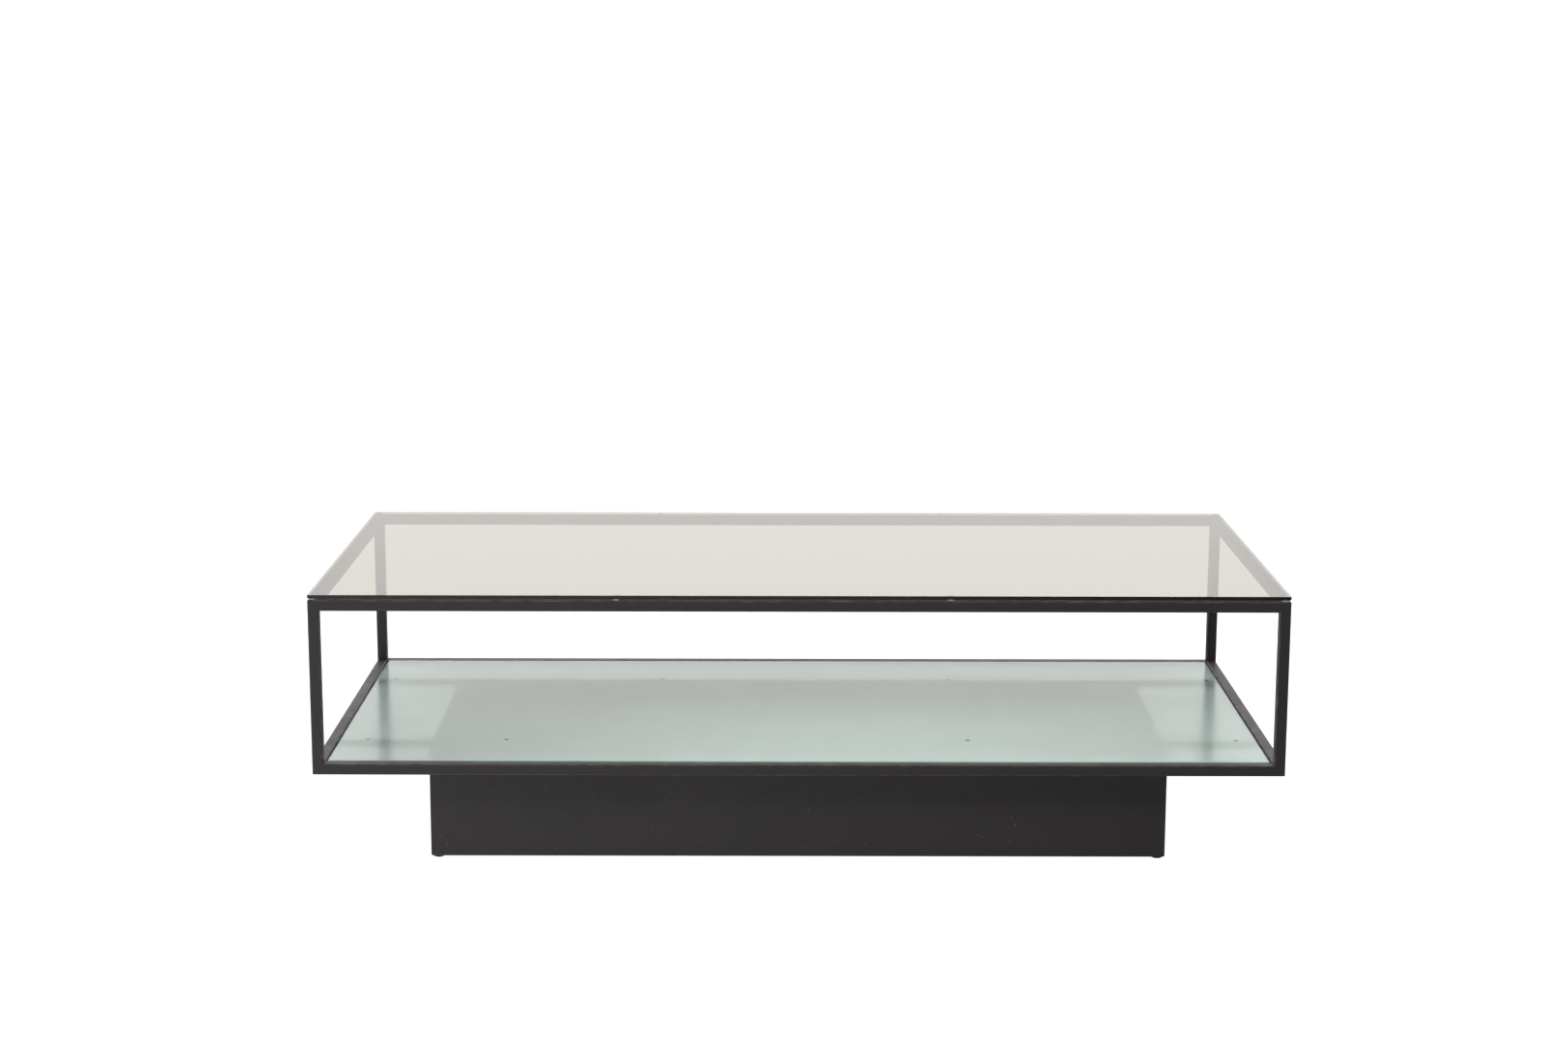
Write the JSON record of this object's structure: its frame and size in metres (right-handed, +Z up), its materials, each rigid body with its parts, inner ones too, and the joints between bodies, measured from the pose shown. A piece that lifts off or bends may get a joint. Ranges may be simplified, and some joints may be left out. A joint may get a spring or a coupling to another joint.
{
  "type": "floating frame coffee table",
  "caption": "Low glass display table: a black square-tube box frame floats on a recessed plinth, with a loose smoked glass top and a frosted glass shelf.",
  "frame": {"origin": "on the floor under the middle of the table", "axes": "+X along the table's length to its right, +Y from its front to its back, +Z up"},
  "size_m": [1.3, 0.6, 0.4],
  "materials": {
    "black_powder_coat": "fine satin black powder coat over welded mild steel",
    "smoked_glass": "clear polished float glass with a grey-brown smoke tint",
    "frosted_glass": "green-tinted float glass, polished on top and frosted underneath",
    "clear_silicone": "clear self-adhesive silicone bumpers",
    "black_rubber": "matt black rubber pads and feet",
    "zinc_plated_steel": "bright zinc plating"
  },
  "bodies": {
    "frame": {"top_bumper_front_1": "clear_silicone", "top_bumper_front_2": "clear_silicone", "top_bumper_front_3": "clear_silicone", "top_bumper_front_4": "clear_silicone", "top_bumper_back_1": "clear_silicone", "top_bumper_back_2": "clear_silicone", "top_bumper_back_3": "clear_silicone", "top_bumper_back_4": "clear_silicone", "shelf_pad_front_1": "black_rubber", "shelf_pad_front_2": "black_rubber", "shelf_pad_front_3": "black_rubber", "shelf_pad_front_4": "black_rubber", "shelf_pad_back_1": "black_rubber", "shelf_pad_back_2": "black_rubber", "shelf_pad_back_3": "black_rubber", "shelf_pad_back_4": "black_rubber", "foot_pad_front_left": "black_rubber", "foot_pad_front_right": "black_rubber", "foot_pad_back_left": "black_rubber", "foot_pad_back_right": "black_rubber", "top_rail_front": "black_powder_coat", "top_rail_right": "black_powder_coat", "top_rail_back": "black_powder_coat", "top_rail_left": "black_powder_coat", "bottom_rail_front": "black_powder_coat", "bottom_rail_right": "black_powder_coat", "bottom_rail_back": "black_powder_coat", "bottom_rail_left": "black_powder_coat", "upright_front_left": "black_powder_coat", "upright_front_right": "black_powder_coat", "upright_back_left": "black_powder_coat", "upright_back_right": "black_powder_coat", "shelf_support_bar_front": "black_powder_coat", "shelf_support_bar_back": "black_powder_coat", "plinth_top_plate": "black_powder_coat", "plinth_front_panel": "black_powder_coat", "plinth_right_panel": "black_powder_coat", "plinth_back_panel": "black_powder_coat", "plinth_left_panel": "black_powder_coat", "plinth_screw_front_left": "zinc_plated_steel", "plinth_screw_front_right": "zinc_plated_steel", "plinth_screw_back_left": "zinc_plated_steel", "plinth_screw_back_right": "zinc_plated_steel", "plinth_nut_front_left": "zinc_plated_steel", "plinth_nut_front_right": "zinc_plated_steel", "plinth_nut_back_left": "zinc_plated_steel", "plinth_nut_back_right": "zinc_plated_steel"},
    "top_glass": {"top_glass_pane": "smoked_glass"},
    "shelf_glass": {"shelf_glass_pane": "frosted_glass"}
  },
  "joints": [
    {"name": "top_glass_lift", "type": "slide", "parent": "frame", "child": "top_glass", "axis": [0, 0, 1], "range_m": [0, 0.15]},
    {"name": "shelf_glass_lift", "type": "slide", "parent": "frame", "child": "shelf_glass", "axis": [0, 0, 1], "range_m": [0, 0.22]}
  ]
}
